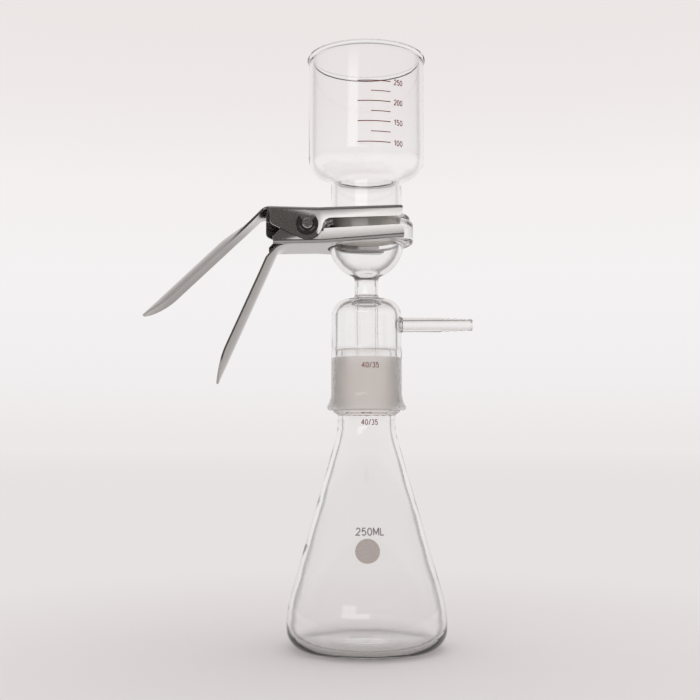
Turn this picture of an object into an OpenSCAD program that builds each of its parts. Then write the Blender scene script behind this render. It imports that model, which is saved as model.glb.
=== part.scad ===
// Vacuum filtration unit. A graduated glass funnel is clamped on a support base with a
// fritted disc. The base stands by a ground joint in the neck of a conical flask, and its
// side arm takes the vacuum hose.
// Origin: centre of the flask's underside. +Z is up, the side arm points along +X, and the
// clamp's handles point towards -X.

/* [Flask] */
// Largest radius of the flask's body
flask_r = 47.3; // [46:0.1:49]
// Radius of the rounded heel
flask_heel = 11.5; // [9:0.1:12]
// Radius of the swelling between heel and cone
flask_swell = 72; // [65:1:80]
// Angle of the cone's wall from the vertical
flask_cone = 16.17; // [15.8:0.01:16.6]
// Glass thickness of the flask
flask_wall = 2.6; // [2:0.1:3]
// Thickness of the flask's floor at its middle
flask_floor = 5.2; // [3:0.1:7]
// Outer radius of the neck
flask_neck_r = 17.25; // [16.8:0.05:17.6]
// Radius of the curve between cone and neck
flask_neck_curve = 40; // [30:1:50]

/* [Ground joint] */
// Large radius of the tapered joint
joint_r = 20; // [19.8:0.05:20.2]
// Ground length of the joint
joint_len = 35; // [33:0.5:36]
// Height of the joint's mouth
joint_z = 139.1; // [138.5:0.1:140]
// Radial film of grease between the ground faces
joint_film = 0.05; // [0.02:0.01:0.1]
// Outer radius of the socket
socket_r = 21.25; // [21:0.05:22]
// Outer radius of the bead round the socket's mouth
socket_bead_r = 23.7; // [23.2:0.1:24.2]

/* [Support base] */
// Height of the contact plane between base and funnel
seat_z = 252.4; // [251:0.1:254]
// Radius of the base's flange
flange_r = 28.2; // [27.5:0.1:28.3]
// Thickness of the base's flange
flange_h = 13.2; // [12.5:0.1:13.2]
// Outer radius of the bowl under the flange
bowl_r = 22.7; // [22:0.1:23]
// Glass thickness of the bowl
bowl_wall = 2.8; // [2.4:0.1:3]
// Outer radius of the stem and drip tube
stem_r = 7.0; // [6.8:0.1:7.4]
// Bore radius of the stem and drip tube
stem_bore = 5.8; // [5.4:0.1:5.9]
// Height of the drip tube's tip
drip_z = 151; // [145:1:160]
// Outer radius of the dome over the joint
dome_r = 20.9; // [20.4:0.1:21.2]
// Glass thickness of the dome
dome_wall = 2.35; // [2:0.05:2.5]
// Radius of the dome's shoulder
dome_shoulder = 10; // [8:0.5:10]

/* [Side arm] */
// Height of the arm's axis
arm_z = 190.5; // [188:0.5:193]
// Outer radius of the plain shank
arm_r = 4.3; // [4:0.1:4.6]
// Radius of the arm's bore
arm_bore = 2.6; // [2:0.1:2.8]
// Distance of the tip from the axis
arm_tip = 63.8; // [60:0.1:70]
// Number of hose barbs
barbs = 4; // [3:1:5]
// Length of one barb
barb_pitch = 4.6; // [4:0.1:5]

/* [Fritted disc] */
// Radius of the disc
frit_r = 20.35; // [20:0.05:20.4]
// Thickness of the disc
frit_h = 10.7; // [10:0.1:10.8]

/* [Funnel] */
// Outer radius of the cup
cup_r = 35; // [34:0.1:36]
// Height of the rim
cup_top = 354.5; // [340:0.5:370]
// Outer radius of the rolled rim
rim_r = 35.95; // [35.8:0.05:36.2]
// Glass thickness of the funnel
cup_wall = 2.4; // [2.2:0.1:2.6]
// Height where the shoulder meets the straight wall
shoulder_z = 291.5; // [288:0.5:300]
// Radius of the shoulder
shoulder_curve = 12; // [10:0.5:13]
// Outer radius of the funnel's neck
cup_neck_r = 21.3; // [21:0.1:21.6]
// Radius of the funnel's flange
cup_flange_r = 26.2; // [25.8:0.1:27]
// Thickness of the funnel's flange
cup_flange_h = 3.5; // [3.3:0.1:3.5]

/* [Clamp] */
// Turn of the clamp about the axis
clamp_turn = 7.5; // [0:0.5:15]
// Thickness of the clamp's sheet
sheet = 1.3; // [1.2:0.05:1.3]
// Outer radius of the bends between web and walls
fold = 2.2; // [2:0.1:2.4]
// Half width of the upper lever at the pivot
upper_w = 22.2; // [22.1:0.1:22.8]
// Gap between the levers' walls
wall_gap = 0.2; // [0.15:0.05:0.3]
// Distance from the axis to the bend where the jaws spread
flare_x = -31.5; // [-32:0.1:-31]
// Spread of the upper jaw's walls
upper_flare = 16; // [16:0.1:17]
// Distance from the axis to the bend in the lower lever's walls, clear of the upper's ears
lower_flare_x = -28.7; // [-28.7:0.1:-28.4]
// Spread of the lower jaw's walls
lower_flare = 21.8; // [21.7:0.1:22.4]
// End of the jaws past the axis
jaw_x = 16; // [14:0.5:16.5]
// Rear end of the upper lever's walls
upper_rear = -59.6; // [-61:0.1:-59]
// Lower edge of the upper jaw's walls
upper_edge_z = 250.5; // [250:0.1:251]
// Slope of the lower lever, jaw upwards
lower_tilt = 2; // [1.8:0.1:2.1]
// Height of the lower lever's walls beside the ears
lower_wall_h = 8.6; // [8:0.1:8.8]
// Fall of the lower walls' top edge from the ears to the jaw's tip
lower_fall = 1.2; // [0.5:0.1:1.6]

/* [Handles] */
// Slope of the upper handle below the horizontal
upper_slope = 44.2; // [43:0.1:45]
// Length of the upper handle past its bend
upper_len = 91.5; // [86:0.5:96]
// Outer radius of the upper handle's bend
upper_bend = 6; // [5:0.5:8]
// Slope of the lower handle below its own web
lower_slope = 64.1; // [63:0.1:65]
// Length of the lower handle past its bend
lower_len = 84.5; // [80:0.5:90]
// Outer radius of the lower handle's bend
lower_bend = 7; // [6:0.5:8]
// Half width of the handles
handle_w = 16.8; // [15:0.1:16.9]
// Outer radius of the handles' trough section
trough_r = 34.1; // [30:0.1:40]
// Share of the trough's depth by which the upper handle's crest rises out of the strip's line
crest = 0.9; // [0.7:0.1:1]
// Length of the rounded handle tips
tip_len = 22; // [16:1:26]

/* [Pivot] */
// Distance of the pivot from the axis
pivot_x = -38.1; // [-38.4:0.1:-37.8]
// Height of the pivot
pivot_z = 247.05; // [246.8:0.05:247.3]
// Radius of the pivot pin
pin_r = 3.1; // [2.8:0.05:3.2]
// Radius of the ears round the pivot
ear_r = 9; // [8.8:0.1:9.2]
// Outer radius of the retaining clips
clip_r = 6.5; // [6:0.1:6.8]
// Thickness of the retaining clips
clip_h = 0.8; // [0.6:0.05:0.9]
// Mean radius of the spring's coil
coil_r = 5.2; // [5:0.1:5.4]
// Thickness of the spring's wire
wire = 1.5; // [1.2:0.1:1.6]
// Full turns of the spring
coil_turns = 7; // [5:1:8]

/* [Hidden] */
$fn = 96;
eps = 0.01;
glass = [0.82, 0.9, 0.92, 0.45];
steel = "silver";

// Points of an arc round [x, y] from angle a to angle b
function arc(x, y, r, a, b, n = 8) =
    [for (i = [0:n]) let (t = a + (b - a) * i / n) [x + r * cos(t), y + r * sin(t)]];
// Smooth step from 0 to 1
function ease(t) = let (u = min(1, max(0, t))) u * u * (3 - 2 * u);
// Radius of the ground taper at height z, 1 in 10 on the diameter
function taper(z) = joint_r - (z - joint_z) / 20;

// ---------------------------------------------------------------- flask
swell_z = flask_heel + 1.1;
cone_r0 = flask_r - flask_swell * (1 - cos(flask_cone));
cone_z0 = swell_z + flask_swell * sin(flask_cone);
neck_cx = flask_neck_r + flask_neck_curve;
neck_r0 = neck_cx - flask_neck_curve * cos(flask_cone);
neck_z = cone_z0 + (cone_r0 - neck_r0) / tan(flask_cone) + flask_neck_curve * sin(flask_cone);
cone_join_z = joint_z - 3.2;
ground_low_z = joint_z - 0.5;
ground_top_z = joint_z + joint_len - 1.6;
lip_z = joint_z + joint_len + 1.1;
lip_round = 1.5;
lip_bore = 15;

module flask_outline() {
    neck_in = flask_neck_r - flask_wall;
    heel_in = flask_heel - flask_wall;
    lip_out = taper(ground_top_z) - joint_film;
    polygon(concat(
        [[0, 0]],
        arc(flask_r - flask_heel, flask_heel, flask_heel, -90, 0, 10),
        arc(flask_r - flask_swell, swell_z, flask_swell, 0, flask_cone, 6),
        arc(neck_cx, neck_z, flask_neck_curve, 180 + flask_cone, 180, 6),
        [for (i = [0:6]) [flask_neck_r + (taper(ground_low_z) - joint_film - flask_neck_r) * ease(i / 6),
            cone_join_z + (ground_low_z - cone_join_z) * i / 6]],
        [[lip_out, ground_top_z]],
        arc(lip_out - 0.1 - lip_round, lip_z - lip_round, lip_round, 0, 90, 5),
        arc(lip_bore + lip_round, lip_z - lip_round, lip_round, 90, 180, 5),
        [[lip_bore, joint_z + 3], [neck_in, joint_z - 6]],
        arc(neck_cx, neck_z, flask_neck_curve + flask_wall, 180, 180 + flask_cone, 6),
        arc(flask_r - flask_swell, swell_z, flask_swell - flask_wall, flask_cone, 0, 6),
        arc(flask_r - flask_heel, swell_z, heel_in, 0, -90, 8),
        [[0, flask_floor]]));
}

module flask() {
    color(glass) rotate_extrude() flask_outline();
}

// ---------------------------------------------------------------- support base
flange_z = seat_z - flange_h;
bowl_z = flange_z + 1.8;
bowl_in = bowl_r - bowl_wall;
frit_z = seat_z - frit_h - 0.05;
recess_r = frit_r + 0.05;
// Fillet between flange and bowl
under_fillet = 1.5;
under_x = sqrt(pow(bowl_r + under_fillet, 2) - pow(bowl_z - flange_z + under_fillet, 2));
under_a = atan2(bowl_z - flange_z + under_fillet, under_x);
// Fillets between bowl and stem, outside and inside
stem_fillet = 4;
stem_fx = stem_r + stem_fillet;
stem_fz = bowl_z - sqrt(pow(bowl_r + stem_fillet, 2) - pow(stem_fx, 2));
stem_fa = atan2(bowl_z - stem_fz, stem_fx);
drain_fillet = 5.5;
drain_fx = stem_bore + drain_fillet;
drain_fz = bowl_z - sqrt(pow(bowl_in + drain_fillet, 2) - pow(drain_fx, 2));
drain_fa = atan2(bowl_z - drain_fz, drain_fx);
// Dome, ring seal and socket
dome_z = 196;
dome_x = dome_r - dome_shoulder;
dome_top = dome_z + dome_shoulder;
seal_fillet = 3;
seal_in = 1.5;
dome_in = dome_r - dome_wall;
bead = 1.8;
bead_x = socket_bead_r - bead;
flare_z = joint_z + 10.9;
flare_dx = bead_x - socket_r;
flare_dz = flare_z - joint_z - bead;
flare_curve = (pow(flare_dx, 2) + pow(flare_dz, 2) - pow(bead, 2)) / (2 * (bead + flare_dx));
flare_a = atan2(flare_dz, flare_curve - flare_dx);
tip_round = (stem_r - stem_bore) / 2;

module base_outline() {
    polygon(concat(
        [[recess_r, seat_z]],
        arc(flange_r - 1.5, seat_z - 1.5, 1.5, 90, 0, 5),
        arc(flange_r - 2, flange_z + 2, 2, 0, -90, 5),
        arc(under_x, flange_z - under_fillet, under_fillet, 90, 180 - under_a, 4),
        arc(0, bowl_z, bowl_r, -under_a, -stem_fa, 14),
        arc(stem_fx, stem_fz, stem_fillet, 180 - stem_fa, 180, 6),
        arc(stem_r + seal_fillet, dome_top + seal_fillet, seal_fillet, 180, 270, 6),
        arc(dome_x, dome_z, dome_shoulder, 90, 0, 10),
        [[dome_r, joint_z + joint_len + 3], [socket_r, joint_z + joint_len]],
        arc(socket_r + flare_curve, flare_z, flare_curve, 180, 180 + flare_a, 6),
        arc(bead_x, joint_z + bead, bead, flare_a, -90, 8),
        [[joint_r + 0.3, joint_z], [taper(joint_z + 0.3), joint_z + 0.3]],
        [[taper(joint_z + joint_len), joint_z + joint_len]],
        [[dome_in, joint_z + joint_len + 1.2]],
        arc(dome_x, dome_z, dome_shoulder - dome_wall, 0, 90, 8),
        arc(stem_r + seal_in, dome_top - dome_wall - seal_in, seal_in, 90, 180, 4),
        arc(stem_r - tip_round, drip_z + tip_round, tip_round, 0, -180, 6),
        arc(drain_fx, drain_fz, drain_fillet, 180, 180 - drain_fa, 6),
        arc(0, bowl_z, bowl_in, -drain_fa, 0, 12),
        [[bowl_in, frit_z], [recess_r, frit_z]]));
}

arm_start = 19.2;
arm_weld = 1.8;
barb_start = arm_tip - 0.6 - barbs * barb_pitch;
barb_drop = 0.16;
barb_depth = 0.42;

// Radius of the barbed end at distance x: each barb rises slowly and falls back steeply
function barb_r(i, t) = arm_r - 0.1 - barb_drop * (i + t) - barb_depth * (t < 0.28 ?
    ease(t / 0.28) : 1 - ease((t - 0.28) / 0.72));

module arm_outline() {
    wall_x = dome_r - 0.45;
    polygon(concat(
        [[0, arm_start], [arm_r + arm_weld, arm_start], [arm_r + arm_weld, wall_x]],
        arc(arm_r + arm_weld, wall_x + arm_weld, arm_weld, 270, 180, 5),
        [[arm_r, barb_start - 0.8]],
        [for (i = [0:barbs - 1]) for (t = [0:0.14:0.99]) [barb_r(i, t), barb_start + (i + t) * barb_pitch]],
        [[barb_r(barbs, 0), arm_tip - 0.6], [barb_r(barbs, 0) - 0.6, arm_tip], [0, arm_tip]]));
}

module support_base() {
    color(glass) difference() {
        union() {
            rotate_extrude() base_outline();
            translate([0, 0, arm_z]) rotate([0, 90, 0]) rotate_extrude() arm_outline();
        }
        translate([dome_in - 3, 0, arm_z]) rotate([0, 90, 0])
            cylinder(r = arm_bore, h = arm_tip);
    }
}

module fritted_disc() {
    color("tan") translate([0, 0, frit_z]) cylinder(r = frit_r, h = frit_h);
}

// ---------------------------------------------------------------- funnel
shoulder_slope = 25;
shoulder_cx = cup_r - shoulder_curve;
neck_fillet = 5;
neck_fx = cup_neck_r + neck_fillet;
shoulder_low_r = shoulder_cx + shoulder_curve * sin(shoulder_slope);
shoulder_low_z = shoulder_z - shoulder_curve * cos(shoulder_slope);
neck_high_r = neck_fx - neck_fillet * sin(shoulder_slope);
neck_fz = shoulder_low_z - (shoulder_low_r - neck_high_r) * tan(shoulder_slope)
    - neck_fillet * cos(shoulder_slope);
rim_bead = 1.65;
rim_x = rim_r - rim_bead;
rim_z = cup_top - rim_bead;
cup_edge = 1.2;
cup_root = 2;

module funnel_outline() {
    cup_in = cup_r - cup_wall;
    neck_in = cup_neck_r - cup_wall;
    flange_top = funnel_z + cup_flange_h;
    polygon(concat(
        [[neck_in, funnel_z]],
        arc(cup_flange_r - cup_edge, funnel_z + cup_edge, cup_edge, -90, 0, 5),
        arc(cup_flange_r - cup_edge, flange_top - cup_edge, cup_edge, 0, 90, 5),
        arc(cup_neck_r + cup_root, flange_top + cup_root, cup_root, 270, 180, 5),
        arc(neck_fx, neck_fz, neck_fillet, 180, 90 + shoulder_slope, 6),
        arc(shoulder_cx, shoulder_z, shoulder_curve, shoulder_slope - 90, 0, 8),
        arc(rim_x, rim_z, rim_bead, -acos((cup_r - rim_x) / rim_bead), 180, 12),
        [[cup_in, rim_z - 1.6]],
        arc(shoulder_cx, shoulder_z, shoulder_curve - cup_wall, 0, shoulder_slope - 90, 8),
        arc(neck_fx, neck_fz, neck_fillet + cup_wall, 90 + shoulder_slope, 180, 6)));
}

module funnel() {
    color(glass) rotate_extrude() funnel_outline();
}

// ---------------------------------------------------------------- clamp levers
lower_w = upper_w - sheet - wall_gap;
funnel_z = seat_z + joint_film;
upper_top = funnel_z + cup_flange_h + sheet;
lower_web_z = flange_z - sheet - 0.05;
// Drop of the lower web's outer face below the pivot, square to the web
web_drop = (pivot_z - lower_web_z) * cos(lower_tilt) + (jaw_x - pivot_x) * sin(lower_tilt);
// Edge of the flat web, inside the bends
web_edge = fold + 0.6;

module in_clamp() {
    rotate([0, 0, clamp_turn]) children();
}

// One side of a channel, its outer face on y = -w: wall, bend and a strip of web in one
// section, which runs straight from x0 to the mitre at xb, then spreads by the flare angle
module folded_side(x0, xb, x1, w, flare, depth) {
    section = concat(
        [[0, -depth]],
        arc(fold, -fold, fold, 180, 90, 5),
        [[web_edge, 0], [web_edge, -sheet]],
        arc(fold, -fold, fold - sheet, 90, 180, 5),
        [[sheet, -depth]]);
    m = len(section);
    mitre = tan(flare / 2);
    points = concat(
        [for (q = section) [x0, q[0] - w, q[1]]],
        [for (q = section) [xb + q[0] * mitre, q[0] - w, q[1]]],
        [for (q = section) [x1, -web_half(x1, xb, w, flare, q[0]), q[1]]]);
    walls = [for (i = [0, m]) for (j = [0:m - 1]) let (k = (j + 1) % m)
        [i + j, i + k, i + m + k, i + m + j]];
    ends = [for (j = [0:m / 2 - 2]) let (k = m - 1 - j)
        each [[k, k - 1, j + 1, j], [2 * m + j, 2 * m + j + 1, 2 * m + k - 1, 2 * m + k]]];
    polyhedron(points, concat(walls, ends));
}

// Half width at x1, an inset d inside the outer face of the spread wall
function web_half(x1, xb, w, flare, d) = w - d + (x1 - xb - d * tan(flare / 2)) * tan(flare);

// A folded channel: flat web with a slot for the glass, and two walls turned down
module channel(x0, web_x, xb, x1, w, flare, slot_x, slot_r, depth) {
    for (side = [0, 1]) {
        mirror([0, side, 0]) folded_side(x0, xb, x1 + 2, w, flare, depth);
    }
    inset = web_edge - 0.4;
    half = w - inset;
    bend = xb + inset * tan(flare / 2);
    end = web_half(x1 + 2, xb, w, flare, inset);
    difference() {
        translate([0, 0, -sheet]) linear_extrude(sheet)
            polygon([[web_x, -half], [bend, -half], [x1 + 2, -end],
                [x1 + 2, end], [bend, half], [web_x, half]]);
        translate([slot_x, 0, -sheet - 1]) cylinder(r = slot_r, h = sheet + 2);
        translate([slot_x, -slot_r, -sheet - 1]) cube([x1 + 10 - slot_x, 2 * slot_r, sheet + 2]);
    }
}

// A side outline in the plane of the levers, made thick enough to trim a channel
module side_trim() {
    rotate([90, 0, 0]) linear_extrude(200, center = true) children();
}

// Handle: a strip that leaves the web at the origin towards -x, bends down and runs on as a
// trough with a rounded tip. The origin lies on its outer face, inward is -1 if the hollow
// side is below and 1 if above.
handle_steps = 8;
function strip_half(s, len, w0) = let (
    w = w0 + (handle_w - w0) * ease(s / 26),
    t = max(0, (s - (len - tip_len)) / tip_len))
    w * sqrt(max(0.006, 1 - t * t));
function strip_curve(s, s0, s1) = ease((s - s0) / (s1 - s0)) / trough_r;
// Place on the spine at length s: x, z and slope. A negative s is still in the web's plane.
function spine(s, bend, slope) = let (
    turn = bend * slope * PI / 180,
    a = slope * max(0, min(1, s / turn)),
    rest = max(0, s - turn))
    [-bend * sin(a) - rest * cos(a) - min(0, s), -bend * (1 - cos(a)) - rest * sin(a), a];
// One point of the strip: u is the place across it from -1 to 1, h the depth in the sheet
function strip_point(s, u, h, bend, slope, len, w0, s0, s1, inward, rise) = let (
    p = spine(s, bend, slope),
    y = strip_half(s, len, w0) * u,
    k = strip_curve(s, s0, s1),
    n = y * y * k / (1 + sqrt(1 - y * y * k * k)),
    out = rise * handle_w * handle_w * k / (1 + sqrt(1 - handle_w * handle_w * k * k)),
    lift = n + h * sqrt(1 - y * y * k * k) - out,
    d = -inward)
    [p[0] + d * lift * sin(p[2]), y - h * y * k, p[1] - d * lift * cos(p[2])];

module handle_strip(lead, bend, slope, len, w0, s0, s1, inward, rise) {
    turn = bend * slope * PI / 180;
    total = len + turn;
    stations = concat(
        [-lead],
        [for (i = [0:9]) turn * i / 10],
        [for (i = [0:9]) turn + (len - tip_len) * i / 10],
        [for (i = [0:10]) total - tip_len * cos(90 * i / 10)]);
    across = 2 * handle_steps;
    loop = [for (j = [0:across]) [j / handle_steps - 1, 0],
        for (j = [across:-1:0]) [j / handle_steps - 1, sheet]];
    m = len(loop);
    count = len(stations);
    points = [for (s = stations) for (q = loop)
        strip_point(s, q[0], q[1], bend, slope, total, w0, s0, s1, inward, rise)];
    walls = [for (i = [0:count - 2]) for (j = [0:m - 1]) let (k = (j + 1) % m)
        [i * m + j, i * m + k, (i + 1) * m + k, (i + 1) * m + j]];
    last = (count - 1) * m;
    ends = [for (j = [0:across - 1]) let (k = m - 1 - j)
        each [[k, k - 1, j + 1, j], [last + j, last + j + 1, last + k - 1, last + k]]];
    faces = concat(walls, ends);
    polyhedron(points, inward > 0 ? faces : [for (f = faces) [for (j = [len(f) - 1:-1:0]) f[j]]]);
}

upper_lead = 0.6;
edge_slope = 24;
corner = 3;
notch = 5;
module upper_side() {
    rear_z = pivot_z - ear_r * cos(edge_slope) + corner * cos(edge_slope)
        + (pivot_x - ear_r * sin(edge_slope) - upper_rear - corner + corner * sin(edge_slope))
        * tan(edge_slope);
    notch_z = upper_edge_z - notch;
    notch_x = pivot_x + sqrt(pow(ear_r + notch, 2) - pow(pivot_z - notch_z, 2));
    notch_a = atan2(pivot_z - notch_z, notch_x - pivot_x);
    polygon(concat(
        [[upper_rear, upper_top + 1], [jaw_x - 1.5, upper_top + 1]],
        arc(jaw_x - 1.5, upper_top - 1.5, 1.5, 90, 0, 4),
        arc(jaw_x - corner, upper_edge_z + corner, corner, 0, -90, 6),
        arc(notch_x, notch_z, notch, 90, 180 - notch_a, 8),
        arc(pivot_x, pivot_z, ear_r, -notch_a, -90 - edge_slope, 14),
        arc(upper_rear + corner, rear_z, corner, -90 - edge_slope, -180, 6)));
}

module upper_clamp_lever() {
    color(steel) in_clamp() {
        difference() {
            intersection() {
                translate([0, 0, upper_top])
                    channel(upper_rear, upper_rear, flare_x, jaw_x, upper_w, upper_flare,
                        0, cup_neck_r + 1.5, 25);
                side_trim() upper_side();
            }
            translate([pivot_x, 0, pivot_z]) rotate([90, 0, 0])
                cylinder(r = pin_r + 0.04, h = 3 * upper_w, center = true);
        }
        translate([upper_rear - upper_lead, 0, upper_top])
            handle_strip(upper_lead, upper_bend, upper_slope, upper_len, upper_w - fold - 1,
                5, 34, -1, crest);
    }
}

// The lower lever is built about its pivot with its web level and on top, then turned over
lower_ear = 8;
lower_rear = -20;
lower_strip_x = -9.3;
lower_lead = 0.84;
module lower_side() {
    top = -web_drop + lower_wall_h;
    low = -web_drop - 1;
    front = (jaw_x - pivot_x) / cos(lower_tilt);
    low_front = top - lower_fall;
    rise = acos(-top / lower_ear);
    polygon(concat(
        [[lower_rear, low], [lower_rear, top - 4.3], [lower_rear + 4.3, top]],
        arc(0, 0, lower_ear, 270 - rise, -90 + rise, 16),
        arc(front - 1.5, low_front - 1.5, 1.5, 90 - lower_fall, 0, 4),
        [[front, low]]));
}

module lower_clamp_lever() {
    slot_x = -pivot_x - web_drop * sin(lower_tilt);
    color(steel) in_clamp() translate([pivot_x, 0, pivot_z]) rotate([0, -lower_tilt, 0]) {
        difference() {
            intersection() {
                translate([0, 0, -web_drop]) mirror([0, 0, 1])
                    channel(lower_rear, lower_strip_x, lower_flare_x - pivot_x,
                        jaw_x - pivot_x, lower_w, lower_flare, slot_x, bowl_r + 0.7, 22);
                side_trim() lower_side();
            }
            rotate([90, 0, 0]) cylinder(r = pin_r + 0.06, h = 3 * upper_w, center = true);
        }
        translate([lower_strip_x - lower_lead, 0, -web_drop])
            handle_strip(lower_lead, lower_bend, lower_slope, lower_len,
                lower_w - web_edge - 0.6, 0, 14, 1, 0);
    }
}

// ---------------------------------------------------------------- pivot
groove_y = upper_w + 0.1;
groove_r = pin_r - 0.6;
pin_end = upper_w + 2.6;

module at_pivot() {
    in_clamp() translate([pivot_x, 0, pivot_z]) rotate([90, 0, 0]) children();
}

module pivot_pin() {
    half = [[groove_r, groove_y], [groove_r, groove_y + clip_h + 0.1],
        [pin_r, groove_y + clip_h + 0.1], [pin_r, pin_end - 0.5], [pin_r - 0.5, pin_end]];
    color("gray") at_pivot() rotate_extrude() polygon(concat(
        [[0, -pin_end]],
        [for (i = [4:-1:0]) [half[i][0], -half[i][1]]],
        [[pin_r, -groove_y], [pin_r, groove_y]],
        half,
        [[0, pin_end]]));
}

// Spring clip with an open throat above and two curved slots beside its lower prong
module clip_shape() {
    throat = 2.9;
    mouth = 4.65;
    difference() {
        circle(r = clip_r);
        circle(r = groove_r + 0.03);
        polygon([[-throat, 1.8], [-mouth, 4.4], [-mouth - 1, 9], [mouth + 1, 9], [mouth, 4.4],
            [throat, 1.8], [0, 0]]);
        for (side = [-1, 1]) {
            intersection() {
                difference() {
                    circle(r = 5.1);
                    circle(r = 3.8);
                }
                polygon([[0, 0], [side * 12, -3.2], [side * 12, -12], [side * 4.6, -12]]);
            }
        }
    }
}

module retaining_clip(y) {
    color([0.08, 0.08, 0.09]) at_pivot() translate([0, 0, y]) linear_extrude(clip_h) clip_shape();
}

module front_retaining_clip() {
    retaining_clip(groove_y + 0.05);
}

module rear_retaining_clip() {
    retaining_clip(-groove_y - 0.05 - clip_h);
}

// Torsion spring: a leg under the upper web, the coil round the pin, a leg on the lower web
coil_half = 9;
leg_steps = 3;
turn_steps = 20;
upper_leg = [-20, upper_top - sheet - pivot_z - wire / 2 - 0.1];
lower_leg = [-8.2, -web_drop + sheet + wire / 2 + 0.35];
function coil_path() = let (n = coil_turns * turn_steps + turn_steps / 2)
    concat(
        [for (i = [0:leg_steps - 1]) let (t = i / leg_steps)
            [upper_leg[0] * (1 - t), upper_leg[1] * (1 - t) + coil_r * t, coil_half]],
        [for (i = [0:n]) let (a = 90 - 360 * i / turn_steps)
            [coil_r * cos(a), coil_r * sin(a), coil_half - 2 * coil_half * i / n]],
        [for (i = [1:leg_steps]) let (t = i / leg_steps)
            [lower_leg[0] * t, lower_leg[1] * t - coil_r * (1 - t), -coil_half]]);

module torsion_spring() {
    path = coil_path();
    sides = 8;
    count = len(path);
    last = count - 1;
    points = [for (i = [0:last]) let (
        d = path[min(last, i + 1)] - path[max(0, i - 1)],
        l = sqrt(d[0] * d[0] + d[1] * d[1]),
        across = [-d[1] / l, d[0] / l, 0])
        for (j = [0:sides - 1]) let (a = 360 * j / sides)
            path[i] + wire / 2 * (cos(a) * across + sin(a) * [0, 0, 1])];
    faces = concat(
        [for (i = [0:last - 1]) for (j = [0:sides - 1]) let (k = (j + 1) % sides)
            [(i + 1) * sides + j, (i + 1) * sides + k, i * sides + k, i * sides + j]],
        [[for (j = [0:sides - 1]) j], [for (j = [sides - 1:-1:0]) last * sides + j]]);
    color("dimgray") at_pivot() polyhedron(points, faces);
}

flask();
support_base();
fritted_disc();
funnel();
upper_clamp_lever();
lower_clamp_lever();
pivot_pin();
front_retaining_clip();
rear_retaining_clip();
torsion_spring();
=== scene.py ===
import math

import bmesh
import bpy
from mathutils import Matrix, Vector


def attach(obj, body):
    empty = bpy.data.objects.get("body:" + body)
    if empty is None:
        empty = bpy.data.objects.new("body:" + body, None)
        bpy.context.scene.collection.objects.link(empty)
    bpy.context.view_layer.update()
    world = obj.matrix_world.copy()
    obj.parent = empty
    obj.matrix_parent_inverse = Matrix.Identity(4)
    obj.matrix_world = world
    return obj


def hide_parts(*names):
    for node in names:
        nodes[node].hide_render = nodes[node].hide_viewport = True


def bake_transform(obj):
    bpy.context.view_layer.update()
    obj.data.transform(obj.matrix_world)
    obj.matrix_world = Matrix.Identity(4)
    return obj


# A vacuum filtration unit in a pale studio. Lengths are in metres, except in the flat
# artwork of the prints, which is drawn in millimetres.
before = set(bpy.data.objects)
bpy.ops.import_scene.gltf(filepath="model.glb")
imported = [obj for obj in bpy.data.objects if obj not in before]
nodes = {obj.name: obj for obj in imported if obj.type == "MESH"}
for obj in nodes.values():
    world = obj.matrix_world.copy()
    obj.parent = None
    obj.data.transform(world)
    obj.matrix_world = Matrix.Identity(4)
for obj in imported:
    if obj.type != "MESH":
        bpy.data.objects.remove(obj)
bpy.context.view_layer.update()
scene = bpy.context.scene

MM = 0.001
GLASS_BODY = "glass_and_upper_lever"
GLASSWARE = ("flask", "support_base", "funnel", "fritted_disc")
LEVERS = ("upper_clamp_lever", "lower_clamp_lever")
CLIPS = ("front_retaining_clip", "rear_retaining_clip")
# how far the clamp is turned round the glassware
CLAMP_TURN = math.radians(7.5)
# vertices closer than this are one vertex that the CAD mesh holds more than once
WELD = 2e-6


def lin(r, g, b):
    """A colour written as 0-255 sRGB, as linear RGBA."""
    def one(v):
        v /= 255
        return v / 12.92 if v <= 0.04045 else ((v + 0.055) / 1.055) ** 2.4
    return (one(r), one(g), one(b), 1.0)


# ---------------------------------------------------------------- camera
CAMERA_AT = (-0.0099, -0.650, 0.1239)
CAMERA_TILT = math.radians(94.53)

cam_data = bpy.data.cameras.new("camera")
cam = bpy.data.objects.new("camera", cam_data)
scene.collection.objects.link(cam)
cam.location = CAMERA_AT
cam.rotation_euler = (CAMERA_TILT, 0, 0)
cam_data.lens = 55.8
cam_data.sensor_width = 36
cam_data.clip_start = 0.01
cam_data.clip_end = 100
scene.camera = cam
scene.view_settings.view_transform = "Standard"


# ---------------------------------------------------------------- node helpers
def add(tree, kind, inputs=(), **props):
    """A node with its properties set, and its inputs set to values or linked to sockets."""
    node = tree.nodes.new(kind)
    for key, value in props.items():
        setattr(node, key, value)
    for key, value in dict(inputs).items():
        if isinstance(value, bpy.types.NodeSocket):
            tree.links.new(value, node.inputs[key])
        else:
            node.inputs[key].default_value = value
    return node


def calc(tree, op, a, b=0.0, clamp=False):
    return add(tree, "ShaderNodeMath", {0: a, 1: b}, operation=op, use_clamp=clamp).outputs[0]


def plus(tree, a, b):
    return calc(tree, "ADD", a, b)


def times(tree, a, b):
    return calc(tree, "MULTIPLY", a, b)


def larger(tree, a, b):
    return calc(tree, "MAXIMUM", a, b)


def one_minus(tree, a):
    return calc(tree, "SUBTRACT", 1.0, a)


def any_of(tree, depth):
    """1 once a ray's depth of this kind is above 0."""
    return calc(tree, "MINIMUM", depth, 1.0)


def ramp01(tree, value, low, high, smooth=True):
    """0 below low, 1 above high."""
    return add(tree, "ShaderNodeMapRange", {0: value, 1: low, 2: high, 3: 0.0, 4: 1.0},
               interpolation_type="SMOOTHSTEP" if smooth else "LINEAR").outputs[0]


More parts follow.
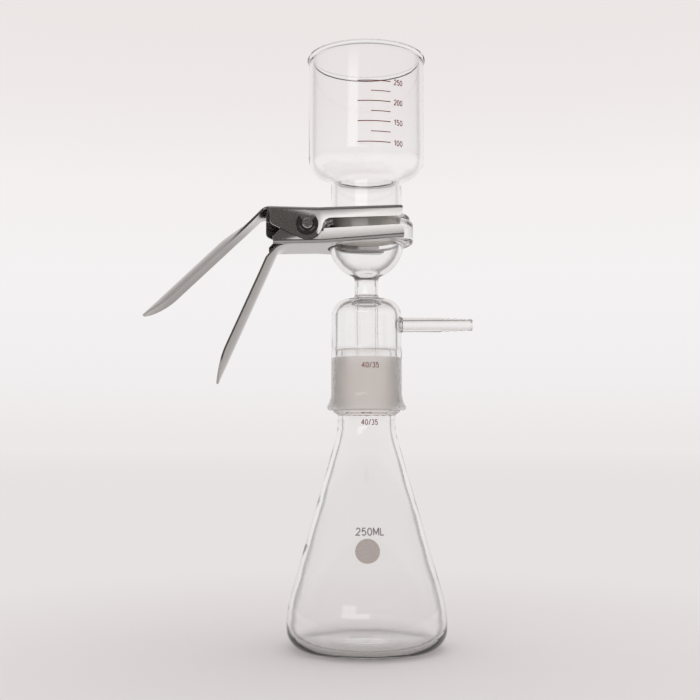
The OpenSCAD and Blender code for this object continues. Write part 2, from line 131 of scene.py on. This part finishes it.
def between(tree, value, low, high, soft):
    """1 between low and high, with soft edges."""
    up = ramp01(tree, value, low - soft, low + soft)
    down = ramp01(tree, value, high - soft, high + soft)
    return calc(tree, "SUBTRACT", up, down, clamp=True)


def mix_colour(tree, fac, a, b):
    return add(tree, "ShaderNodeMix", {0: fac, 6: a, 7: b}, data_type="RGBA").outputs[2]


def split(tree, vector):
    """The x, y and z of a vector."""
    xyz = add(tree, "ShaderNodeSeparateXYZ", {0: vector}).outputs
    return xyz[0], xyz[1], xyz[2]


def flat_length(tree, x, y):
    """How far (x, y) is from the vertical axis."""
    return calc(tree, "SQRT", plus(tree, times(tree, x, x), times(tree, y, y)))


def local(tree):
    """Coordinates that belong to the piece, so that its pattern moves with it."""
    return add(tree, "ShaderNodeTexCoord").outputs["Object"]


def noise(tree, coord, scale, detail=2.0, stretch=None, turn=0.0):
    """Cloudy noise from 0 to 1. stretch gives it a scale of its own along each axis."""
    if stretch:
        coord = add(tree, "ShaderNodeMapping", {0: coord, 2: (0, 0, turn), 3: stretch}).outputs[0]
    return add(tree, "ShaderNodeTexNoise", {0: coord, "Scale": scale, "Detail": detail}).outputs[0]


def bumped(tree, tone, rough, height, strength, distance, more=()):
    """A Principled shader with a bump. more holds further inputs by name."""
    bump = add(tree, "ShaderNodeBump", {"Strength": strength, "Distance": distance, "Height": height})
    inputs = {"Base Color": tone, "Roughness": rough, "Normal": bump.outputs[0]}
    inputs.update(more)
    return add(tree, "ShaderNodeBsdfPrincipled", inputs).outputs[0]


# ---------------------------------------------------------------- material helpers
def new_material(name):
    mat = bpy.data.materials.new(name)
    mat.use_nodes = True
    mat.node_tree.nodes.clear()
    return mat, mat.node_tree


def show(tree, shader):
    add(tree, "ShaderNodeOutputMaterial", {0: shader})


def swap_material(part, mat):
    for slot in nodes[part].material_slots:
        slot.material = mat


# ---------------------------------------------------------------- floor
FLOOR_RADIUS = 30
# just under the flask, so that the two faces don't coincide
FLOOR_Z = -0.0002
# between these distances from the object's axis the lit floor gives way to a plain glow
FLOOR_FADE = (0.12, 0.42)
LIT_FLOOR = lin(238, 234, 233)
# the glow turns from one tone to the other between these distances
GLOW_TURN = (0.8, 9.0)
GLOW_NEAR = lin(230, 226, 225)
GLOW_FAR = lin(236, 232, 232)
# the floor towards the camera is dark when mirrored: where it darkens, and how much less in glass
NEAR_END = (0.2, 0.7)
NEAR_END_IN_GLASS = 0.55
NEAR_END_TONE = lin(96, 94, 92)


def floor_material():
    """Lit and shadowed round the object, and a plain glow further off, so that it meets the backdrop."""
    mat, tree = new_material("floor")
    x, y, _ = split(tree, local(tree))
    radius = flat_length(tree, x, y)
    path = add(tree, "ShaderNodeLightPath").outputs
    in_mirror_or_glass = larger(tree, path["Is Glossy Ray"], path["Is Transmission Ray"])
    seen = larger(tree, path["Is Camera Ray"], in_mirror_or_glass)
    fade = times(tree, ramp01(tree, radius, *FLOOR_FADE), seen)
    near_end = times(tree, ramp01(tree, times(tree, y, -1.0), *NEAR_END), any_of(tree, path["Glossy Depth"]))
    in_glass = times(tree, any_of(tree, path["Transmission Depth"]), NEAR_END_IN_GLASS)
    near_end = times(tree, near_end, one_minus(tree, in_glass))
    pale = mix_colour(tree, ramp01(tree, radius, *GLOW_TURN), GLOW_NEAR, GLOW_FAR)
    tone = mix_colour(tree, near_end, pale, NEAR_END_TONE)
    lit = add(tree, "ShaderNodeBsdfDiffuse", {0: LIT_FLOOR}).outputs[0]
    glow = add(tree, "ShaderNodeEmission", {0: tone, 1: 1.0}).outputs[0]
    fade = larger(tree, fade, near_end)
    show(tree, add(tree, "ShaderNodeMixShader", {0: fade, 1: lit, 2: glow}).outputs[0])
    return mat


def make_floor():
    mesh = bpy.data.meshes.new("floor")
    bm = bmesh.new()
    bmesh.ops.create_circle(bm, cap_ends=True, segments=128, radius=FLOOR_RADIUS)
    bm.to_mesh(mesh)
    bm.free()
    mesh.materials.append(floor_material())
    floor = bpy.data.objects.new("floor", mesh)
    scene.collection.objects.link(floor)
    floor.location.z = FLOOR_Z


# ---------------------------------------------------------------- world
# the backdrop's colour against the height of the direction that looks at it
BACKDROP = ((0.0, (236, 232, 232)), (0.05, (241, 238, 239)), (0.15, (244, 242, 242)),
            (0.22, (243, 240, 239)), (0.29, (239, 234, 233)), (0.36, (236, 230, 229)))
DARK_ROOM = lin(110, 107, 105)
# how far to the back, or how far up, a mirrored ray points when it sees the backdrop
SHEET_BEHIND = (0.45, 0.92)
SHEET_ABOVE = (0.45, 0.9)
SHEET_ABOVE_STRENGTH = 0.25
# how far up a ray points that meets the unlit part of the ceiling
CEILING_Z = (0.4, 0.7)
UNLIT_CEILING = lin(150, 147, 145)
# how much of the mirrored room is left out inside glass
LEFT_OUT_IN_GLASS = 0.9
FILL_LIGHT = lin(214, 212, 212)
# two soft panels behind the camera, mostly to its left. Each has its low edge, high edge and
# softness across, the same upwards, and its colour.
UPPER_PANEL = ((-0.60, -0.29, 0.05), (0.15, 0.335, 0.018), (2.5, 2.47, 2.45, 1))
LOWER_PANEL = ((-0.60, 0.05, 0.02), (0.145, 0.229, 0.008), (2.6, 2.57, 2.55, 1))


def backdrop(tree, z):
    """The pale sheet that the camera sees behind the object."""
    ramp = add(tree, "ShaderNodeValToRGB", {0: z})
    stops = ramp.color_ramp.elements
    while len(stops) < len(BACKDROP):
        stops.new(0.5)
    for stop, (at, colour) in zip(stops, BACKDROP):
        stop.position = at
        stop.color = lin(*colour)
    return ramp.outputs[0]


def mirrored_studio(tree, x, y, z, sheet_colour):
    """What is mirrored: a room darker than the backdrop behind the object, and its bright panels."""
    flat = flat_length(tree, x, y)
    east = calc(tree, "DIVIDE", x, flat)
    north = calc(tree, "DIVIDE", y, flat)
    above = times(tree, ramp01(tree, z, *SHEET_ABOVE), SHEET_ABOVE_STRENGTH)
    sheet = larger(tree, ramp01(tree, north, *SHEET_BEHIND), above)
    studio = mix_colour(tree, sheet, DARK_ROOM, sheet_colour)
    for across, upwards, colour in (UPPER_PANEL, LOWER_PANEL):
        panel = times(tree, between(tree, east, *across), calc(tree, "LESS_THAN", north, 0.0))
        panel = times(tree, panel, between(tree, z, *upwards))
        studio = mix_colour(tree, panel, studio, colour)
    return studio


def make_world():
    world = bpy.data.worlds.new("studio")
    scene.world = world
    world.use_nodes = True
    tree = world.node_tree
    tree.nodes.clear()
    x, y, z = split(tree, add(tree, "ShaderNodeTexCoord").outputs["Generated"])
    path = add(tree, "ShaderNodeLightPath").outputs
    sheet_colour = backdrop(tree, z)
    # only what the glass bends steeply upwards meets the ceiling
    ceiling = times(tree, ramp01(tree, z, *CEILING_Z), path["Is Transmission Ray"])
    through = mix_colour(tree, ceiling, sheet_colour, UNLIT_CEILING)
    in_glass = times(tree, any_of(tree, path["Transmission Depth"]), LEFT_OUT_IN_GLASS)
    mirrored = times(tree, any_of(tree, path["Glossy Depth"]), one_minus(tree, in_glass))
    seen = mix_colour(tree, mirrored, through, mirrored_studio(tree, x, y, z, sheet_colour))
    colour = mix_colour(tree, path["Is Diffuse Ray"], seen, FILL_LIGHT)
    background = add(tree, "ShaderNodeBackground", {0: colour, 1: 1.0})
    add(tree, "ShaderNodeOutputWorld", {0: background.outputs[0]})


# ---------------------------------------------------------------- lamps
def lamp(name, place_at, aim, width, height, radiance):
    """A rectangular lamp that lights the object but isn't seen, mirrored or seen through glass."""
    data = bpy.data.lights.new(name, "AREA")
    data.shape = "RECTANGLE"
    data.size = width
    data.size_y = height
    data.energy = radiance * math.pi * width * height
    light = bpy.data.objects.new(name, data)
    scene.collection.objects.link(light)
    light.location = place_at
    light.rotation_euler = (Vector(aim) - Vector(place_at)).to_track_quat("-Z", "Y").to_euler()
    light.visible_camera = False
    light.visible_glossy = False
    light.visible_transmission = False


make_floor()
make_world()
lamp("softbox", (-1.27, -2.72, 1.36), aim=(0, 0, 0.32), width=1.02, height=0.56, radiance=2.6)
lamp("overhead", (0.15, 0.25, 1.4), aim=(0, 0, 0.1), width=1.3, height=1.3, radiance=0.9)
scene.cycles.max_bounces = 28
scene.cycles.transmission_bounces = 28
scene.cycles.glossy_bounces = 12
scene.cycles.transparent_max_bounces = 32
scene.cycles.use_denoising = True


# ---------------------------------------------------------------- glass
GLASS_IOR = 1.474
CLEAR = (0.995, 0.994, 0.993, 1)
FROSTED = (0.925, 0.90, 0.875, 1)
FROSTED_ROUGHNESS = 0.42
# the shadow that clear glass casts, seen square on and seen along its wall
SHADOW_FACE = (0.965, 0.96, 0.955, 1)
SHADOW_EDGE = (0.45, 0.44, 0.43, 1)
# the base's glass is its bowl above this height
BOWL_Z = (0.212, 0.214)
# how far the wall is turned from the eye where its inner side gets a painted dark line, where light leaves
# it close to its critical angle
CRITICAL = (0.215, 0.255)
# the frosted bands, by height and by distance from the axis
SOCKET_BAND = (0.1394, 0.1706, 0.0003)
SOCKET_BORE = (0.0150, 0.0204, 0.0002)
CONE_BAND = (0.1386, 0.1703, 0.0003)
CONE_OUTSIDE = (0.01765, 0.0178)


def inner_wall(tree, coord, z, facing, broad):
    """Where the inner wall gets painted shade: a dark line in its colour where light leaves the glass close
    to its critical angle.
    """
    geometry = add(tree, "ShaderNodeNewGeometry").outputs
    product = add(tree, "ShaderNodeVectorMath", {0: geometry["Normal"], 1: coord}, operation="MULTIPLY")
    across, along, _ = split(tree, product.outputs[0])
    outward = calc(tree, "GREATER_THAN", plus(tree, across, along), 0.0)
    low, high = CRITICAL
    start = calc(tree, "SUBTRACT", low, times(tree, ramp01(tree, z, *BOWL_Z), broad))
    wall = times(tree, ramp01(tree, facing, start, high), outward)
    return times(tree, wall, geometry["Backfacing"])


def glass(name, outline_shade, ground=None, broad=0.0):
    """Clear borosilicate, with painted shade at its outlines. outline_shade is how light that painted dark
    outline stays, ground(tree, z, radius) gives where it is frosted, and broad widens the painted dark line
    of the bowl's inner wall."""
    mat, tree = new_material(name)
    coord = local(tree)
    x, y, z = split(tree, coord)
    facing = add(tree, "ShaderNodeLayerWeight", {0: 0.5}).outputs["Facing"]
    # painted shade: the glass's colour darkens towards its outlines and along its inner wall's line
    edge = larger(tree, calc(tree, "POWER", facing, 6.0), inner_wall(tree, coord, z, facing, broad))
    tint_and_painted_outline = mix_colour(tree, edge, CLEAR, (outline_shade, outline_shade * 0.98, outline_shade * 0.97, 1))
    # faint smears, and the long low waves of drawn glass
    smear = noise(tree, coord, 60.0, 3.0)
    rough = times(tree, ramp01(tree, smear, 0.5, 0.9), 0.012)
    waves = noise(tree, coord, 38.0, 1.0, stretch=(1, 1, 0.35))
    height = times(tree, waves, 0.00012)
    if ground:
        mask = ground(tree, z, flat_length(tree, x, y))
        grain = noise(tree, coord, 5200.0, 2.0)
        tint_and_painted_outline = mix_colour(tree, mask, tint_and_painted_outline, FROSTED)
        rough = larger(tree, rough, times(tree, mask, FROSTED_ROUGHNESS))
        height = plus(tree, height, times(tree, times(tree, grain, mask), 0.00002))
    shader = bumped(tree, tint_and_painted_outline, rough, height, 0.35, 1.0, {"IOR": GLASS_IOR, "Transmission Weight": 1.0})
    # light that casts shadows passes straight through, and is dimmed most near the outlines
    shade = mix_colour(tree, calc(tree, "POWER", facing, 3.0), SHADOW_FACE, SHADOW_EDGE)
    clear = add(tree, "ShaderNodeBsdfTransparent", {0: shade}).outputs[0]
    shadow_ray = add(tree, "ShaderNodeLightPath").outputs["Is Shadow Ray"]
    show(tree, add(tree, "ShaderNodeMixShader", {0: shadow_ray, 1: shader, 2: clear}).outputs[0])
    return mat


def socket_ground(tree, z, radius):
    """The inside of the base's socket."""
    return times(tree, between(tree, z, *SOCKET_BAND), between(tree, radius, *SOCKET_BORE))


def cone_ground(tree, z, radius):
    """The outside of the cone on the flask's neck."""
    return times(tree, between(tree, z, *CONE_BAND), ramp01(tree, radius, *CONE_OUTSIDE))


def frit_material():
    """Sintered glass: pale fused grains, clouded in places."""
    mat, tree = new_material("frit")
    coord = local(tree)
    grain = add(tree, "ShaderNodeTexVoronoi", {0: coord, "Scale": 2600.0}).outputs["Distance"]
    cloud = noise(tree, coord, 240.0, 4.0)
    tone = mix_colour(tree, ramp01(tree, grain, 0.1, 0.75), lin(243, 239, 233), lin(222, 216, 209))
    tone = mix_colour(tree, times(tree, cloud, 0.3), tone, lin(190, 183, 175))
    rough = plus(tree, times(tree, cloud, 0.2), 0.6)
    show(tree, bumped(tree, tone, rough, grain, 0.6, 0.0002, {"IOR": 1.47}))
    return mat


# the second number is how light each glass's painted dark outline stays
swap_material("flask", glass("flask_glass", 0.24, cone_ground))
swap_material("support_base", glass("base_glass", 0.12, socket_ground, broad=0.08))
swap_material("funnel", glass("funnel_glass", 0.7))
swap_material("fritted_disc", frit_material())


# ---------------------------------------------------------------- clamp metals
def steel(name, light, dark, rough_low, rough_high, turn=0.0, stretch=(14, 90, 200)):
    """Satin steel with long fine scratches, a little darker and rougher where it is clouded."""
    mat, tree = new_material(name)
    coord = local(tree)
    scratches = noise(tree, coord, 1.0, 1.0, stretch=stretch, turn=turn)
    cloud = noise(tree, coord, 55.0, 3.0)
    tone = mix_colour(tree, ramp01(tree, scratches, 0.2, 0.8, smooth=False), dark, light)
    tone = mix_colour(tree, times(tree, cloud, 0.15), tone, dark)
    rough = plus(tree, times(tree, scratches, rough_high - rough_low), rough_low)
    rough = plus(tree, rough, times(tree, cloud, 0.03))
    show(tree, bumped(tree, tone, rough, scratches, 0.15, 0.000006, {"Metallic": 1.0}))
    return mat


def clip_material():
    """Blackened spring steel, rubbed paler in spots."""
    mat, tree = new_material("clip_steel")
    coord = local(tree)
    cloud = noise(tree, coord, 900.0, 3.0)
    rub = ramp01(tree, noise(tree, coord, 2400.0, 2.0), 0.6, 0.75)
    tone = mix_colour(tree, cloud, (0.012, 0.012, 0.013, 1), (0.04, 0.038, 0.036, 1))
    tone = mix_colour(tree, times(tree, rub, 0.4), tone, (0.11, 0.105, 0.1, 1))
    rough = plus(tree, times(tree, cloud, 0.2), 0.34)
    show(tree, bumped(tree, tone, rough, cloud, 0.3, 0.00004, {"Specular IOR Level": 0.35}))
    return mat


clamp_steel = steel("clamp_steel", (0.47, 0.457, 0.449, 1), (0.43, 0.42, 0.412, 1), 0.125, 0.16,
                    turn=-CLAMP_TURN)
pin_steel = steel("pin_steel", (0.62, 0.6, 0.58, 1), (0.35, 0.34, 0.33, 1), 0.16, 0.3,
                  stretch=(900, 60, 900))
spring_steel = steel("spring_steel", (0.42, 0.41, 0.4, 1), (0.2, 0.195, 0.19, 1), 0.25, 0.4,
                     stretch=(90, 90, 500))
clip_steel = clip_material()
swap_material("pivot_pin", pin_steel)
for lever in LEVERS:
    swap_material(lever, clamp_steel)
for clip in CLIPS:
    swap_material(clip, clip_steel)


# ---------------------------------------------------------------- smooth surfaces
def smooth_formed(angle):
    """A modifier that joins split vertices and smooths all edges that bend less than angle degrees."""
    tree = bpy.data.node_groups.new("smooth_formed", "GeometryNodeTree")
    for way in ("INPUT", "OUTPUT"):
        tree.interface.new_socket("Geometry", in_out=way, socket_type="NodeSocketGeometry")
    start = add(tree, "NodeGroupInput")
    drop = add(tree, "GeometryNodeRemoveAttribute", {"Geometry": start.outputs[0], "Name": "custom_normal"})
    weld = add(tree, "GeometryNodeMergeByDistance", {"Geometry": drop.outputs[0], "Distance": WELD})
    smooth = add(tree, "GeometryNodeSetShadeSmooth", {"Geometry": weld.outputs[0]}, domain="FACE")
    bend = add(tree, "GeometryNodeInputMeshEdgeAngle").outputs["Unsigned Angle"]
    sharp = add(tree, "FunctionNodeCompare", {0: bend, 1: math.radians(angle)},
                data_type="FLOAT", operation="GREATER_THAN")
    mark = add(tree, "GeometryNodeStoreNamedAttribute",
               {"Geometry": smooth.outputs[0], "Name": "sharp_edge", "Value": sharp.outputs[0]},
               data_type="BOOLEAN", domain="EDGE")
    add(tree, "NodeGroupOutput", {0: mark.outputs[0]})
    return tree


def ease_edges(part, width):
    """A small bevel on a part's sharp edges."""
    bevel = nodes[part].modifiers.new("eased edges", "BEVEL")
    bevel.width = width
    bevel.segments = 2
    bevel.limit_method = "ANGLE"
    return bevel


formed = smooth_formed(32)
for part in GLASSWARE + LEVERS:
    nodes[part].modifiers.new("formed", "NODES").node_group = formed
for lever in LEVERS:
    ease_edges(lever, 0.00016).angle_limit = math.radians(50)
for clip in CLIPS:
    ease_edges(clip, 0.0001)
for part in GLASSWARE + LEVERS:
    normals = nodes[part].modifiers.new("even normals", "WEIGHTED_NORMAL")
    normals.mode = "FACE_AREA"
    normals.weight = 100
    normals.keep_sharp = True


# ---------------------------------------------------------------- torsion spring
def smooth_wire():
    """The CAD spring's mesh, joined up and smooth but for the ends of its wire."""
    mesh = nodes["torsion_spring"].data.copy()
    mesh.name = "wound_spring"
    bm = bmesh.new()
    bm.from_mesh(mesh)
    bmesh.ops.remove_doubles(bm, verts=bm.verts, dist=WELD)
    for face in bm.faces:
        face.smooth = True
    for edge in bm.edges:
        edge.smooth = edge.is_manifold and edge.calc_face_angle(0) < math.radians(50)
    bm.to_mesh(mesh)
    bm.free()
    if "custom_normal" in mesh.attributes:
        mesh.attributes.remove(mesh.attributes["custom_normal"])
    mesh.materials.clear()
    mesh.materials.append(spring_steel)
    return mesh


def make_spring():
    """The spring as one piece."""
    spring = bpy.data.objects.new("wound_spring", smooth_wire())
    scene.collection.objects.link(spring)
    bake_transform(spring)
    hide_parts("torsion_spring")


make_spring()


# ---------------------------------------------------------------- inks
def enamel(name, tone, worn, roughness):
    """Fired ink: slightly uneven in colour, with a soft sheen."""
    mat, tree = new_material(name)
    patch = noise(tree, local(tree), 1400.0, 3.0)
    colour = mix_colour(tree, ramp01(tree, patch, 0.35, 0.75), tone, worn)
    rough = plus(tree, times(tree, patch, 0.25), roughness)
    show(tree, bumped(tree, colour, rough, patch, 0.3, 0.00003))
    return mat


red_ink = enamel("red_ink", lin(122, 36, 30), lin(146, 62, 54), 0.35)
grey_ink = enamel("grey_ink", lin(150, 144, 141), lin(166, 160, 157), 0.45)
spot_ink = enamel("spot_ink", lin(189, 179, 174), lin(203, 194, 189), 0.7)

# ---------------------------------------------------------------- artwork on the glass
# how far from the axis the rays start that look for the glass, and how high the ink stands on it,
# both in metres
RAY_START = 0.07
INK_HEIGHT = 0.00004


def wrap(part, u, v, centre, z0, r0, slant):
    """A point of flat artwork laid on a part: u along the arc and v up the wall."""
    angle = math.radians(centre) + u / r0
    out = Vector((math.sin(angle), -math.cos(angle), 0))
    z = (z0 + v * math.cos(slant)) * MM
    _, at, normal, _ = nodes[part].ray_cast(out * RAY_START + Vector((0, 0, z)), -out)
    return at + normal.normalized() * INK_HEIGHT


def artwork(name, part, polygons, ink, centre, z0, r0, slant=0.0):
    """A piece of flat polygons laid on a part. Its middle is centre degrees round from the front
    and at the height z0, where the part has the radius r0 and its wall leans by slant."""
    verts, faces = [], []
    for ring in polygons:
        faces.append(tuple(range(len(verts), len(verts) + len(ring))))
        verts += [wrap(part, u, v, centre, z0, r0, slant) for u, v in ring]
    mesh = bpy.data.meshes.new(name)
    mesh.from_pydata(verts, [], faces)
    bm = bmesh.new()
    bm.from_mesh(mesh)
    bmesh.ops.remove_doubles(bm, verts=bm.verts, dist=1e-6)
    bm.to_mesh(mesh)
    bm.free()
    for face in mesh.polygons:
        face.use_smooth = True
    mesh.materials.append(ink)
    piece = bpy.data.objects.new(name, mesh)
    scene.collection.objects.link(piece)
    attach(piece, GLASS_BODY)


def bar(u0, u1, v, thick, step=0.8):
    """A mark from u0 to u1 as short quads, so that it follows the curve."""
    count = max(2, int(abs(u1 - u0) / step))
    us = [u0 + (u1 - u0) * i / count for i in range(count + 1)]
    low, high = v - thick / 2, v + thick / 2
    return [[(a, low), (b, low), (b, high), (a, high)] for a, b in zip(us, us[1:])]


def disc(radius, rings=6, steps=48):
    """A round spot: a fan of triangles inside rings of quads."""
    def at(ring, step):
        r = radius * ring / rings
        turn = 2 * math.pi * step / steps
        return (r * math.cos(turn), r * math.sin(turn))
    fan = [[(0.0, 0.0), at(1, j), at(1, j + 1)] for j in range(steps)]
    return fan + [[at(i, j), at(i + 1, j), at(i + 1, j + 1), at(i, j + 1)]
                  for i in range(1, rings) for j in range(steps)]


# ---------------------------------------------------------------- lettering
def arc(cx, cy, rx, ry, first, last, steps=14):
    """Points along part of an ellipse, from one angle to the other in degrees."""
    turns = [math.radians(first + (last - first) * i / steps) for i in range(steps + 1)]
    return [(cx + rx * math.cos(t), cy + ry * math.sin(t)) for t in turns]


# plain single-stroke figures: width, and strokes in a box one unit high
FIGURES = {
    "0": (0.62, [arc(0.31, 0.5, 0.31, 0.5, 90, 450, 28)]),
    "1": (0.40, [[(0.04, 0.78), (0.30, 1.0), (0.30, 0.0)]]),
    "2": (0.62, [arc(0.31, 0.70, 0.29, 0.30, 165, -32) + [(0.02, 0.0), (0.62, 0.0)]]),
    "3": (0.60, [arc(0.28, 0.755, 0.26, 0.245, 150, -78) + arc(0.28, 0.26, 0.32, 0.26, 78, -150)]),
    "4": (0.66, [[(0.48, 0.0), (0.48, 1.0), (0.0, 0.30), (0.66, 0.30)]]),
    "5": (0.60, [[(0.56, 1.0), (0.11, 1.0), (0.06, 0.54)] + arc(0.29, 0.33, 0.31, 0.33, 135, -150)]),
    "/": (0.44, [[(0.0, -0.06), (0.44, 1.06)]]),
    "M": (0.80, [[(0.0, 0.0), (0.0, 1.0), (0.40, 0.22), (0.80, 1.0), (0.80, 0.0)]]),
    "L": (0.52, [[(0.0, 1.0), (0.0, 0.0), (0.52, 0.0)]]),
}
# room between two figures, in the same unit
GAP = 0.3


def ribbon(points, thick, step=0.4):
    """A stroke of even thickness, in short quads with mitred corners."""
    fine = [Vector(points[0])]
    for a, b in zip(points, points[1:]):
        a, b = Vector(a), Vector(b)
        count = max(1, math.ceil((b - a).length / step))
        fine += [a.lerp(b, (i + 1) / count) for i in range(count)]
    fine = [p for i, p in enumerate(fine) if i == 0 or (p - fine[i - 1]).length > 0.01]
    edges = []
    for i, p in enumerate(fine):
        before = (p - fine[max(i - 1, 0)]).normalized()
        after = (fine[min(i + 1, len(fine) - 1)] - p).normalized()
        along = (before + after).normalized()
        side = Vector((-along.y, along.x))
        square = Vector((-before.y, before.x)) if i else side
        reach = thick / 2 / max(0.5, side.dot(square))
        edges.append((tuple(p + side * reach), tuple(p - side * reach)))
    return [[a[0], a[1], b[1], b[0]] for a, b in zip(edges, edges[1:])]


def lettering(text, width, height, thick, u0=0.0, v0=0.0):
    """Generic numbers in strokes, centred on (u0, v0)."""
    natural = sum(FIGURES[c][0] for c in text) + GAP * (len(text) - 1)
    stretch = (width - thick) / natural
    rise = height - thick
    quads = []
    at = 0.0
    for c in text:
        wide, strokes = FIGURES[c]
        for stroke in strokes:
            laid = [(u0 + (at + x - natural / 2) * stretch, v0 + (y - 0.5) * rise) for x, y in stroke]
            quads += ribbon(laid, thick)
        at += wide + GAP
    return quads


# ---------------------------------------------------------------- prints
# the funnel's outer radius, and the height that its artwork is measured from
CUP_R = 35.0
CUP_Z = 300.0
# the height of each graduation
LEVELS = {250: 329.7, 200: 317.7, 150: 305.8, 100: 293.6}
# where the graduations start and end, and the middle of their figures, in degrees from the front
LONG_START, SHORT_START, MARK_END, FIGURE_MIDDLE = -9.1, 3.6, 23, 31.4
# the flask's cone: how its wall leans, and its radius at one height
FLASK_SLANT = math.radians(16.17)
FLASK_R, FLASK_R_AT = 44.45, 32.65


def graduations():
    def along(degrees):
        return math.radians(degrees) * CUP_R
    marks = []
    for value, z in LEVELS.items():
        marks += bar(along(LONG_START), along(MARK_END), z - CUP_Z, 0.55)
        marks += lettering(str(value), 6.0, 3.5, 0.5, along(FIGURE_MIDDLE), z - CUP_Z)
    heights = list(LEVELS.values())
    for upper, lower in zip(heights, heights[1:]):
        marks += bar(along(SHORT_START), along(MARK_END), (upper + lower) / 2 - CUP_Z, 0.5)
    artwork("funnel_graduations", "funnel", marks, red_ink, 0.0, CUP_Z, CUP_R)


def joint_size_mark(name, part, width, centre, z, radius):
    mark = lettering("40/35", width, height=3.3, thick=0.44)
    artwork(name, part, mark, red_ink, centre, z, radius)


def on_flask(name, polygons, ink, centre, z):
    """Artwork on the flask's cone, with its middle at the height z."""
    radius = FLASK_R - (z - FLASK_R_AT) * math.tan(FLASK_SLANT)
    artwork(name, "flask", polygons, ink, centre, z, radius, FLASK_SLANT)


graduations()
joint_size_mark("base_joint_size_mark", "support_base", width=10.2, centre=5.2, z=165.2, radius=21.25)
joint_size_mark("neck_joint_size_mark", "flask", width=10.0, centre=5.0, z=132.0, radius=17.55)
on_flask("flask_capacity_mark", lettering("250ML", 16.4, 4.7, 0.72), grey_ink, centre=2.3, z=70.2)
on_flask("flask_writing_spot", disc(7.0), spot_ink, centre=-0.1, z=59.7)
